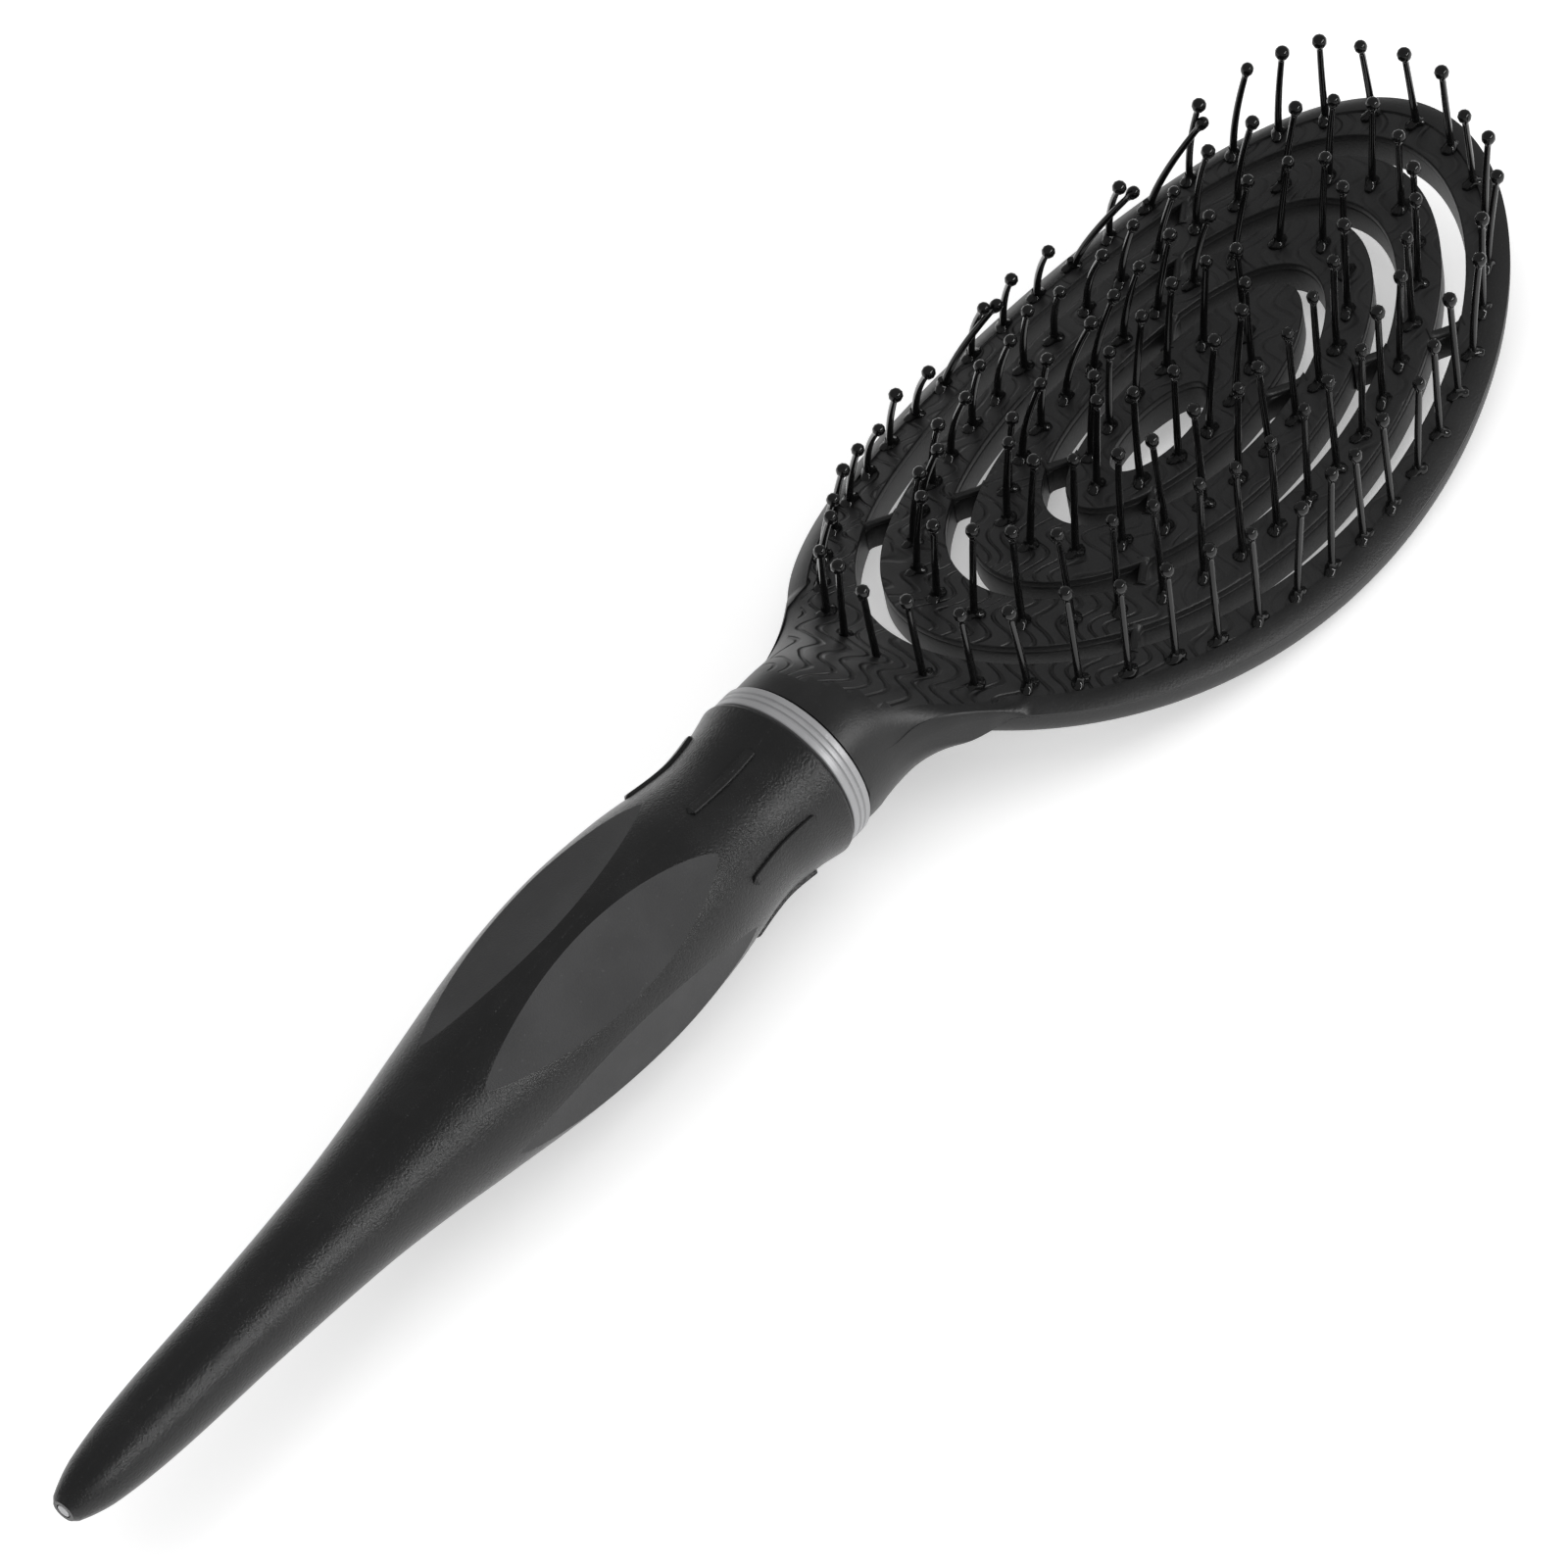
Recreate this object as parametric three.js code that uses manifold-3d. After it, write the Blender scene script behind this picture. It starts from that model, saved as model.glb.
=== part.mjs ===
// Vented oval detangling hair brush: a saddle-shaped head with three oval slots, four moulded bristle
// rings clamped between two covers, a grooved collar ring, and a hollow six-facet handle on a tang.
//
// Frame, in millimetres: +X runs along the handle towards the head, +Z is the way the bristles point,
// and the brush is mirrored about the XZ plane apart from its grip facets and the bristles' set.
// While it is being built, x = 0 is the handle's top end and z = 0 is the handle's axis.
import * as THREE from 'three';
import { mergeVertices } from 'three/addons/utils/BufferGeometryUtils.js';
import Module from 'manifold-3d';

const wasm = await Module();
wasm.setup();

// ---- driving dimensions ----------------------------------------------------------------------
const handleLength = 122.9;
const headEnd = 127.1;
const headLength = 113.2;
const headWidth = 64.4;
const bellyRadius = 12.15;
const waistRadius = 10.0;
const shoulderRadius = 11.3;
const tipRadius = 1.5;

const collarWidth = 3.0;
const collarRadius = 10.95;
const collarWall = 1.95;
const collarGrooveDepth = 0.3;
const neckRadius = 10.6;

const frontThickness = 1.2;
const backThickness = 3.5;
const restDepth = 0.5;
const slotWidth = 3.0;
const bridgeWidth = 1.1;
const bridgeDrop = 0.5;
const bridgeAngle = 32.7;
const holeLength = 17.0;
const holeWidth = 6.6;
const holeCentre = 57.2;

const scoopRadius = 209;
const crownRadius = 116;
const faceDrop = 5.3;
const faceLowFromNear = 61.2;

const rimChamferWidth = 1.8;
const rimChamferDepth = 0.6;

const pinRadius = 0.45;
const pinBallRadius = 0.9;
const pinLength = 15;
const pinLeanLow = 7;
const pinLeanHigh = 26;
const runnerWidth = 2.4;
const runnerThickness = 0.8;
const rowCounts = [44, 35, 24, 12];

const tangRadius = 5.5;
const tangInHandle = 38;
const tangInNeck = 12;
const tangBeadRise = 0.7;
const tangBeadFromEnd = 4;
const handleWall = 2.4;
const ventRadius = 2.0;

const facetCount = 6;
const facetBow = 0.75;
const facetStart = 57.3;
const facetEnd = 17.5;
const gripTwist = 10.6;
const ribLength = 11.4;
const ribWidth = 1.3;
const ribHeight = 0.4;
const ribFromTop = 4.4;

const plugRadius = 0.8;
const plugLength = 5;
const fitGap = 0.3;
const plugGap = 0.15;

// The four bands from the rim to the core share what the slots leave, in these proportions.
const bandShares = {
  side: [5.3, 5.0, 5.1, 4.5],
  near: [10.3, 10.2, 11.8, 7.4],
  far: [6.3, 6.8, 7.6, 17.8],
};

// ---- places worked out from them -------------------------------------------------------------
const backTop = frontThickness + fitGap;
const runnerTop = backTop;
const headNear = headEnd - headLength;
const neckStart = fitGap + collarWidth + fitGap;
const holeX = headNear + holeCentre;
const faceLowX = headNear + faceLowFromNear;
const headThickness = frontThickness + fitGap + backThickness;
const flareEnd = headNear + 18;
const neckEnd = headNear + 9.5;
const restZ = faceZ(faceLowX, headWidth / 2) - headThickness + restDepth;
const radians = THREE.MathUtils.degToRad;

// Height of the bristle face: scooped along the head and crowned across it.
function faceZ(x, y) {
  return -faceDrop + (x - faceLowX) ** 2 / (2 * scoopRadius) - y ** 2 / (2 * crownRadius);
}

// ---- solids ----------------------------------------------------------------------------------
function signedVolume(position, index) {
  const a = new THREE.Vector3();
  const b = new THREE.Vector3();
  const c = new THREE.Vector3();
  let volume = 0;
  for (let i = 0; i < index.length; i += 3) {
    a.fromBufferAttribute(position, index[i]);
    b.fromBufferAttribute(position, index[i + 1]);
    c.fromBufferAttribute(position, index[i + 2]);
    volume += a.dot(b.cross(c));
  }
  return volume;
}

// A three.js geometry becomes a solid: shared corners merged, slivers at the poles left out.
function solid(geometry) {
  const bare = geometry.clone();
  bare.deleteAttribute('normal');
  bare.deleteAttribute('uv');
  const merged = mergeVertices(bare, 1e-4);
  const old = merged.index.array;
  const index = [];
  for (let i = 0; i < old.length; i += 3) {
    const [p, q, r] = [old[i], old[i + 1], old[i + 2]];
    if (p !== q && q !== r && r !== p) index.push(p, q, r);
  }
  if (signedVolume(merged.attributes.position, index) < 0) index.reverse();
  return new wasm.Manifold(new wasm.Mesh({
    numProp: 3,
    vertProperties: new Float32Array(merged.attributes.position.array),
    triVerts: new Uint32Array(index),
  }));
}

function geometryOf(body) {
  const mesh = body.getMesh();
  const geometry = new THREE.BufferGeometry();
  geometry.setAttribute('position', new THREE.BufferAttribute(mesh.vertProperties, 3));
  geometry.setIndex(new THREE.BufferAttribute(mesh.triVerts, 1));
  geometry.computeVertexNormals();
  return geometry;
}

function join(bodies) {
  return bodies.reduce((whole, body) => whole.add(body));
}

function moveVertices(geometry, change) {
  const position = geometry.attributes.position;
  const point = new THREE.Vector3();
  for (let i = 0; i < position.count; i += 1) {
    point.fromBufferAttribute(position, i);
    change(point);
    position.setXYZ(i, point.x, point.y, point.z);
  }
  return geometry;
}

// Turned about the handle's axis: each profile point is [x along the axis, radius].
function turned(profile, segments) {
  const points = profile.map(([x, r]) => new THREE.Vector2(r, x));
  const lathe = new THREE.LatheGeometry(points, segments);
  return moveVertices(lathe, (p) => p.set(p.y, p.z, p.x));
}

// A solid lofted through rings of points, closed by flat ends.
function lofted(rings) {
  const around = rings[0].length;
  const points = rings.flat();
  const index = [];
  for (let i = 0; i + 1 < rings.length; i += 1) {
    for (let j = 0; j < around; j += 1) {
      const a = i * around + j;
      const b = i * around + (j + 1) % around;
      index.push(a, b, a + around, b, b + around, a + around);
    }
  }
  const last = (rings.length - 1) * around;
  for (let j = 1; j + 1 < around; j += 1) {
    index.push(0, j + 1, j, last, last + j, last + j + 1);
  }
  const geometry = new THREE.BufferGeometry().setFromPoints(points);
  geometry.setIndex(index);
  return geometry;
}

// ---- ovals: near and far ends on the centre line, and half the width ---------------------------
function oval(near, far, halfWidth) {
  return { centre: (near + far) / 2, a: (far - near) / 2, b: halfWidth };
}

// Edges of the bands, from the outline in to the hole: two per slot between them.
function ovalEdges() {
  const spread = (shares, from, to) => {
    const left = to - from - 3 * slotWidth;
    const total = shares.reduce((sum, share) => sum + share);
    const edges = [from];
    shares.forEach((share, i) => {
      edges.push(edges[edges.length - 1] + left * share / total);
      if (i < 3) edges.push(edges[edges.length - 1] + slotWidth);
    });
    return edges;
  };
  const near = spread(bandShares.near, headNear, holeX - holeLength / 2);
  const far = spread(bandShares.far, -headEnd, -(holeX + holeLength / 2)).map((x) => -x);
  const side = spread(bandShares.side, -headWidth / 2, -holeWidth / 2).map((y) => -y);
  return near.map((x, i) => oval(x, far[i], side[i]));
}

const edges = ovalEdges();
const pointsAround = [42, 36, 32, 20];

function between(p, q, t) {
  return oval(
    THREE.MathUtils.lerp(p.centre - p.a, q.centre - q.a, t),
    THREE.MathUtils.lerp(p.centre + p.a, q.centre + q.a, t),
    THREE.MathUtils.lerp(p.b, q.b, t),
  );
}

function widened(shape, by) {
  return oval(shape.centre - shape.a - by, shape.centre + shape.a + by, shape.b + by);
}

// A closed section carried round the ovals: each corner is [oval, depth below the face].
function sweptBand(section, around) {
  const rings = [];
  for (let i = 0; i < around; i += 1) {
    const angle = (i / around) * 2 * Math.PI;
    rings.push(section.map(([shape, depth]) => {
      const x = shape.centre + shape.a * Math.cos(angle);
      const y = shape.b * Math.sin(angle);
      return new THREE.Vector3(x, y, faceZ(x, y) - depth);
    }));
  }
  const corners = section.length;
  const index = [];
  for (let i = 0; i < around; i += 1) {
    for (let j = 0; j < corners; j += 1) {
      const a = i * corners + j;
      const b = i * corners + (j + 1) % corners;
      const c = ((i + 1) % around) * corners + j;
      const d = ((i + 1) % around) * corners + (j + 1) % corners;
      index.push(a, c, b, b, c, d);
    }
  }
  const geometry = new THREE.BufferGeometry().setFromPoints(rings.flat());
  geometry.setIndex(index);
  return solid(geometry);
}

function ovalPrism(shape, around) {
  const outline = new THREE.Shape().absellipse(shape.centre, 0, shape.a, shape.b, 0, 2 * Math.PI);
  const prism = new THREE.ExtrudeGeometry(outline, {
    depth: 80,
    bevelEnabled: false,
    curveSegments: around / 2,
  });
  return solid(prism.translate(0, 0, -40));
}

// ---- neck: a round section that flattens into the head ----------------------------------------
function outlineHalfWidth(x) {
  const edge = edges[0];
  return edge.b * Math.sqrt(Math.max(0, 1 - ((x - edge.centre) / edge.a) ** 2));
}

function neckHalfWidth(x) {
  const start = neckStart + 5;
  if (x <= start) return neckRadius;
  const span = flareEnd - start;
  const t = (x - start) / span;
  const slope = (outlineHalfWidth(flareEnd) - outlineHalfWidth(flareEnd - 0.1)) / 0.1;
  const rise = t * t * (3 - 2 * t);
  const ease = t * t * (t - 1) * span * slope;
  return THREE.MathUtils.lerp(neckRadius, outlineHalfWidth(flareEnd), rise) + ease;
}

// How far the section has turned from round, at the collar, to the head's flat form.
function flatness(x) {
  return THREE.MathUtils.smoothstep(x, neckStart + 2, neckEnd);
}

function neckSection(x) {
  const corner = 0.3;
  const half = headThickness / 2;
  const ring = [];
  for (let i = 0; i < 24; i += 1) {
    const angle = (i / 24) * 2 * Math.PI;
    const y = neckHalfWidth(x) * Math.cos(angle);
    const sine = Math.sin(angle);
    const flat = faceZ(x, y) - half + half * Math.sign(sine) * Math.abs(sine) ** corner;
    ring.push(new THREE.Vector3(x, y, THREE.MathUtils.lerp(neckRadius * sine, flat, flatness(x))));
  }
  return ring;
}

function neckBody() {
  const rings = [];
  for (let i = 0; i <= 8; i += 1) {
    rings.push(neckSection(THREE.MathUtils.lerp(neckStart, neckEnd, i / 8)));
  }
  return solid(lofted(rings));
}

// The part of the neck that belongs to the back cover: inside the head's oval, under the face.
function underHead(clearance) {
  const rings = [];
  const halfSpan = headWidth / 2;
  for (let i = 0; i <= 6; i += 1) {
    const x = THREE.MathUtils.lerp(headNear - 2, neckEnd + 1, i / 6);
    const ring = [];
    for (let j = 0; j <= 10; j += 1) {
      const y = THREE.MathUtils.lerp(-halfSpan, halfSpan, j / 10);
      ring.push(new THREE.Vector3(x, y, faceZ(x, y) - backTop + clearance));
    }
    ring.push(new THREE.Vector3(x, halfSpan, -40), new THREE.Vector3(x, -halfSpan, -40));
    rings.push(ring);
  }
  return solid(lofted(rings)).intersect(ovalPrism(widened(edges[0], clearance), pointsAround[0]));
}

// ---- head covers -----------------------------------------------------------------------------
// Where a ray from the middle of the bridges' cross meets an oval.
function rayToOval(shape, angle) {
  const cos = Math.cos(angle);
  const sin = Math.sin(angle);
  const offset = holeX - shape.centre;
  const p = (cos / shape.a) ** 2 + (sin / shape.b) ** 2;
  const q = 2 * offset * cos / shape.a ** 2;
  const r = (offset / shape.a) ** 2 - 1;
  const reach = (-q + Math.sqrt(q * q - 4 * p * r)) / (2 * p);
  return new THREE.Vector2(holeX + reach * cos, reach * sin);
}

function bridge(slot, angle, top, bottom) {
  const overlap = 1.2;
  const outer = rayToOval(edges[2 * slot + 1], angle);
  const inner = rayToOval(edges[2 * slot + 2], angle);
  const length = outer.distanceTo(inner) + 2 * overlap;
  const middle = outer.clone().add(inner).multiplyScalar(0.5);
  const blade = new THREE.BoxGeometry(length, bridgeWidth, bottom - top);
  blade.rotateZ(angle);
  blade.translate(middle.x, middle.y, -(top + bottom) / 2);
  return solid(moveVertices(blade, (p) => p.setZ(p.z + faceZ(p.x, p.y))));
}

function bridges(top, bottom) {
  const angle = radians(bridgeAngle);
  const all = [];
  for (let slot = 0; slot < 3; slot += 1) {
    for (const turn of [angle, -angle, Math.PI - angle, Math.PI + angle]) {
      all.push(bridge(slot, turn, top, bottom));
    }
  }
  return all;
}

function band(i, top, bottom) {
  const [outer, inner] = [edges[2 * i], edges[2 * i + 1]];
  const section = [[outer, top], [outer, bottom], [inner, bottom], [inner, top]];
  return sweptBand(section, pointsAround[i]);
}

function chamferedRim() {
  const [outer, inner] = [edges[0], edges[1]];
  return sweptBand([
    [widened(outer, -rimChamferWidth), 0],
    [outer, rimChamferDepth],
    [outer, frontThickness],
    [inner, frontThickness],
    [inner, 0],
  ], pointsAround[0]);
}

function rowOval(row) {
  return between(edges[2 * row], edges[2 * row + 1], 0.5);
}

// Points at equal steps along an oval, starting at its far end.
function spacedPoints(shape, count) {
  const curve = new THREE.EllipseCurve(shape.centre, 0, shape.a, shape.b, 0, 2 * Math.PI);
  curve.arcLengthDivisions = 720;
  return curve.getSpacedPoints(count).slice(0, count);
}

function pinHoles() {
  const holes = [];
  rowCounts.forEach((count, row) => {
    for (const { x, y } of spacedPoints(rowOval(row), count)) {
      const drill = new THREE.CylinderGeometry(pinRadius + fitGap, pinRadius + fitGap, 8, 5);
      drill.rotateX(Math.PI / 2).translate(x, y, faceZ(x, y));
      holes.push(solid(drill));
    }
  });
  return holes;
}

function frontCover(neck, tangSpace) {
  const inward = [1, 2, 3].map((i) => band(i, 0, frontThickness));
  const neckPart = neck.subtract(underHead(fitGap));
  const body = [chamferedRim(), ...inward, ...bridges(bridgeDrop, frontThickness), neckPart];
  return join(body).subtract(tangSpace).subtract(join(pinHoles()));
}

function runnerBand(row, clearance, top, bottom) {
  const middle = rowOval(row);
  const outer = widened(middle, runnerWidth / 2 + clearance);
  const inner = widened(middle, -runnerWidth / 2 - clearance);
  const section = [[outer, top], [outer, bottom], [inner, bottom], [inner, top]];
  return sweptBand(section, pointsAround[row]);
}

function backCover(neck) {
  const oval = rowCounts.map((count, row) => band(row, backTop, headThickness));
  const grooves = rowCounts.map((count, row) => (
    runnerBand(row, fitGap, backTop - 1, runnerTop + runnerThickness + fitGap)
  ));
  const below = new THREE.BoxGeometry(2 * headEnd, 2 * headWidth, 40);
  below.translate(headEnd, 0, restZ - 20);
  return join([...oval, ...bridges(backTop, headThickness), neck.intersect(underHead(0))])
    .subtract(join(grooves))
    .subtract(solid(below));
}

// ---- bristle rings ---------------------------------------------------------------------------
function pin(x, y) {
  const foot = runnerTop + runnerThickness / 2;
  const ballMiddle = pinLength - pinBallRadius;
  const profile = [
    [-foot, 0],
    [-foot, pinRadius],
    [0.3, pinRadius],
    [ballMiddle - pinBallRadius, pinRadius],
    [ballMiddle, pinBallRadius],
    [pinLength, 0],
  ];
  const points = profile.map(([z, r]) => new THREE.Vector2(r, z));
  const shaft = new THREE.LatheGeometry(points, 5);
  shaft.rotateX(Math.PI / 2);
  const side = Math.max(0, y / (headWidth / 2));
  const lean = Math.tan(radians(THREE.MathUtils.lerp(pinLeanLow, pinLeanHigh, side)));
  moveVertices(shaft, (p) => p.setY(p.y - Math.max(0, p.z - 0.3) * lean));
  return solid(shaft.translate(x, y, faceZ(x, y)));
}

function bristleRing(row) {
  const runner = runnerBand(row, 0, runnerTop, runnerTop + runnerThickness);
  const pins = spacedPoints(rowOval(row), rowCounts[row]).map(({ x, y }) => pin(x, y));
  return join([runner, ...pins]);
}

// ---- collar ring and tang ----------------------------------------------------------------------
function collarRing() {
  const start = fitGap;
  const inner = collarRadius - collarWall;
  const at = (share) => start + collarWidth * share;
  const groove = collarRadius - collarGrooveDepth;
  const profile = [
    [at(0), inner],
    [at(1), inner],
    [at(1), collarRadius - 0.3],
    [at(0.9), collarRadius],
    [at(0.7), collarRadius],
    [at(0.64), groove],
    [at(0.58), collarRadius],
    [at(0.42), collarRadius],
    [at(0.36), groove],
    [at(0.3), collarRadius],
    [at(0.1), collarRadius],
    [at(0), collarRadius - 0.3],
    [at(0), inner],
  ];
  return turned(profile, 30);
}

// A rod with a snap bead near each end and a flange that carries the collar ring. The outline is
// grown by a clearance to cut its seats in the handle and the neck.
function tangProfile(clearance) {
  const r = tangRadius + clearance;
  const bead = r + tangBeadRise;
  const flange = collarRadius - collarWall - fitGap;
  const back = -tangInHandle - clearance;
  const front = tangInNeck + clearance;
  return [
    [back, 0],
    [back, r - 0.8],
    [back + 2, r],
    [back + tangBeadFromEnd, r],
    [back + tangBeadFromEnd + 1.5, bead],
    [back + tangBeadFromEnd + 3, r],
    [fitGap, r],
    [fitGap, flange],
    [fitGap + collarWidth, flange],
    [fitGap + collarWidth, r],
    [front - tangBeadFromEnd - 1, r],
    [front - tangBeadFromEnd, bead],
    [front - tangBeadFromEnd + 1, r],
    [front - 1, r],
    [front, r - 0.8],
    [front, 0],
  ];
}

// ---- handle ------------------------------------------------------------------------------------
// Radius of the round handle, through its tip, waist and belly. Stations are measured from x = 0.
const handleCurve = new THREE.CatmullRomCurve3([
  [handleLength, tipRadius],
  [handleLength - 1.2, 2.6],
  [handleLength - 5, 3.75],
  [handleLength - 14, 4.65],
  [handleLength - 30, 5.45],
  [handleLength - 47, 6.75],
  [58, 9.35],
  [44, 11.45],
  [32, bellyRadius],
  [21, 11.35],
  [10, waistRadius],
  [4, 10.45],
  [0.4, shoulderRadius],
].map(([x, r]) => new THREE.Vector3(-x, r, 0)), false, 'centripetal');
const handleStations = handleCurve.getPoints(24);

// Each facet is flat across and bows gently along the grip between its two ends.
function facetDistance(x) {
  const along = THREE.MathUtils.inverseLerp(-facetStart, -facetEnd, x);
  if (along <= 0 || along >= 1) return Infinity;
  const ends = THREE.MathUtils.lerp(radiusAt(-facetStart), radiusAt(-facetEnd), along);
  return ends + facetBow * Math.sin(Math.PI * along);
}

function radiusAt(x) {
  const next = handleStations.findIndex((point) => point.x >= x);
  if (next < 0) return handleStations[handleStations.length - 1].y;
  if (next === 0) return handleStations[0].y;
  const [a, b] = [handleStations[next - 1], handleStations[next]];
  return THREE.MathUtils.lerp(a.y, b.y, (x - a.x) / (b.x - a.x));
}

function handleOutside() {
  const profile = [
    [-handleLength, 0],
    ...handleStations.map(({ x, y }) => [x, y]),
    [0, shoulderRadius - 0.4],
    [0, 0],
  ];
  const facetStep = 2 * Math.PI / facetCount;
  const firstFacet = facetStep / 2 - radians(gripTwist);
  return moveVertices(turned(profile, 36), (p) => {
    const radius = Math.hypot(p.y, p.z);
    if (radius === 0 || p.x > -1) return;
    const angle = Math.atan2(p.y, p.z) - firstFacet;
    const fromFacet = angle - facetStep * Math.round(angle / facetStep);
    const allowed = facetDistance(p.x) / Math.cos(fromFacet);
    if (radius > allowed) p.set(p.x, p.y * allowed / radius, p.z * allowed / radius);
  });
}

function handleCavity() {
  const points = handleStations
    .map(({ x, y }) => [x, Math.min(y, facetDistance(x)) - handleWall])
    .filter(([x, r]) => x < -tangInHandle - 6 && r > ventRadius / 2);
  const [first] = points;
  const last = points[points.length - 1];
  return turned([[first[0], 0], ...points, [last[0] + 0.01, 0]], 15);
}

function gripRibs() {
  const ribs = [];
  const middle = -ribFromTop - ribLength / 2;
  for (let i = 0; i < facetCount; i += 1) {
    const capsule = new THREE.Shape();
    const reach = (ribLength - ribWidth) / 2;
    capsule.absarc(reach, 0, ribWidth / 2, -Math.PI / 2, Math.PI / 2);
    capsule.absarc(-reach, 0, ribWidth / 2, Math.PI / 2, 3 * Math.PI / 2);
    const rib = new THREE.ExtrudeGeometry(capsule, {
      depth: 2 + ribHeight,
      bevelEnabled: false,
      curveSegments: 3,
    });
    const sliced = rib.translate(middle, 0, -2);
    moveVertices(sliced, (p) => p.setZ(p.z + radiusAt(p.x)));
    sliced.rotateX(-(2 * Math.PI * i / facetCount - radians(gripTwist)));
    ribs.push(solid(sliced));
  }
  return ribs;
}

function handleShell(tangSpace) {
  const through = turned([
    [-handleLength - 1, 0],
    [-handleLength - 1, plugRadius + plugGap],
    [-handleLength + plugLength + plugGap, plugRadius + plugGap],
    [-handleLength + plugLength + plugGap, plugRadius / 2],
    [-tangInHandle - 8, plugRadius / 2],
    [-tangInHandle - 8, ventRadius],
    [-tangInHandle + 1, ventRadius],
    [-tangInHandle + 1, 0],
  ], 16);
  return join([solid(handleOutside()), ...gripRibs()])
    .subtract(tangSpace)
    .subtract(solid(handleCavity()))
    .subtract(solid(through));
}

function tipPlug() {
  return turned([
    [-handleLength, 0],
    [-handleLength, plugRadius],
    [-handleLength + plugLength, plugRadius],
    [-handleLength + plugLength, 0],
  ], 16);
}

// ---- materials and assembly --------------------------------------------------------------------
const finishes = {
  softTouch: { color: 0x1c1c1d, roughness: 0.55, metalness: 0 },
  head: { color: 0x151516, roughness: 0.48, metalness: 0 },
  nylon: { color: 0x0a0a0b, roughness: 0.2, metalness: 0 },
  satinMetal: { color: 0x9a9a9c, roughness: 0.35, metalness: 0.8 },
  core: { color: 0x2a2a2c, roughness: 0.6, metalness: 0 },
};

const brush = new THREE.Group();
brush.position.set((handleLength - headEnd) / 2, 0, -restZ);

function addPiece(name, geometry, finish) {
  const mesh = new THREE.Mesh(geometry, new THREE.MeshStandardMaterial(finishes[finish]));
  mesh.name = name;
  brush.add(mesh);
}

const neck = neckBody();
const tangSpace = solid(turned(tangProfile(fitGap), 20));
addPiece('head_front_cover', geometryOf(frontCover(neck, tangSpace)), 'head');
addPiece('head_back_cover', geometryOf(backCover(neck)), 'head');
const rowNames = ['rim', 'outer', 'inner', 'core'];
rowNames.forEach((rowName, row) => {
  addPiece(`bristle_ring_${rowName}`, geometryOf(bristleRing(row)), 'nylon');
});
addPiece('collar_ring', geometryOf(solid(collarRing())), 'satinMetal');
addPiece('tang_core', geometryOf(solid(turned(tangProfile(0), 20))), 'core');
addPiece('handle_shell', geometryOf(handleShell(tangSpace)), 'softTouch');
addPiece('tip_plug', geometryOf(solid(tipPlug())), 'satinMetal');

export default brush;
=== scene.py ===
"""Looks of the vented oval hair brush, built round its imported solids.

Brush coordinates are in millimetres: x from the grip's top end towards the head, z from the grip's
axis towards the bristles. spot() turns them into the frame's metres.
"""

import math
import random

import bmesh
import bpy
from mathutils import Matrix, Vector


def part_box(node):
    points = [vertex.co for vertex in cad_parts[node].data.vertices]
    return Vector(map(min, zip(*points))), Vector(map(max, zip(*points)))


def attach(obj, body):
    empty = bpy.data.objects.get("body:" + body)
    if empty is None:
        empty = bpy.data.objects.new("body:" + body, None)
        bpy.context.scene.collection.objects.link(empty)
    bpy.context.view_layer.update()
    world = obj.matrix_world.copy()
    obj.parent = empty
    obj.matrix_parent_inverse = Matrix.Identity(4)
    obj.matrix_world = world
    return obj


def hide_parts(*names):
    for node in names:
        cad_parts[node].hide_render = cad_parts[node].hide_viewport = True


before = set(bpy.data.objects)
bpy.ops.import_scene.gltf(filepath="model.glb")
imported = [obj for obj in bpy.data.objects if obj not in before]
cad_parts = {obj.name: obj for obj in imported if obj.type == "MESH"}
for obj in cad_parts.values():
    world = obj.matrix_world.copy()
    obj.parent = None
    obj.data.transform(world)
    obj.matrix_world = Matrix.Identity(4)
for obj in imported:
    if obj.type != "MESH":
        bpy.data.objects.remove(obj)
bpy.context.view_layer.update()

MM = 0.001
TURN = 2 * math.pi

# ---- places taken from the solids -------------------------------------------------------------
grip_low, grip_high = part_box("handle_shell")
ring_low, ring_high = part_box("collar_ring")
back_low, back_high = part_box("head_back_cover")
front_low, front_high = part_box("head_front_cover")
tang_low, tang_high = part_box("tang_core")

GRIP_TOP = grip_high[0]
AXIS_HEIGHT = (ring_low[2] + ring_high[2]) / 2
GRIP_LENGTH = (grip_high[0] - grip_low[0]) / MM
HEAD_NEAR = (back_low[0] - GRIP_TOP) / MM
HEAD_FAR = (front_high[0] - GRIP_TOP) / MM
HEAD_HALF = (front_high[1] - front_low[1]) / 2 / MM
NECK_START = (front_low[0] - GRIP_TOP) / MM
RING_START = (ring_low[0] - GRIP_TOP) / MM
RING_END = (ring_high[0] - GRIP_TOP) / MM
RING_RADIUS = (ring_high[1] - ring_low[1]) / 2 / MM
REST_Z = -AXIS_HEIGHT / MM

# ---- forms of the head ------------------------------------------------------------------------
NECK_RADIUS = 10.6
FRONT_DEPTH = 1.2
BACK_TOP = 1.25
HEAD_DEPTH = 5.0
SLOT = 3.0
SIDE_SHARES = (5.3, 5.0, 5.1, 4.5)
NEAR_SHARES = (10.3, 10.2, 11.8, 7.4)
FAR_SHARES = (6.3, 6.8, 7.6, 17.8)
HOLE_X = HEAD_NEAR + 57.2
HOLE_HALF = (8.5, 3.3)
LOW_X = HEAD_NEAR + 61.2
FACE_DROP = 5.3
SCOOP_RADIUS = 209
CROWN_RADIUS = 116
FLARE_END = HEAD_NEAR + 18
NECK_END = HEAD_NEAR + 9.5
OVAL_START = 20
ROW_COUNTS = (44, 35, 24, 12)
ROW_NAMES = ("rim", "outer", "inner", "core")
BLADE_ANGLE = math.radians(32.7)
RIB_PHASE = math.radians(10.6)


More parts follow.
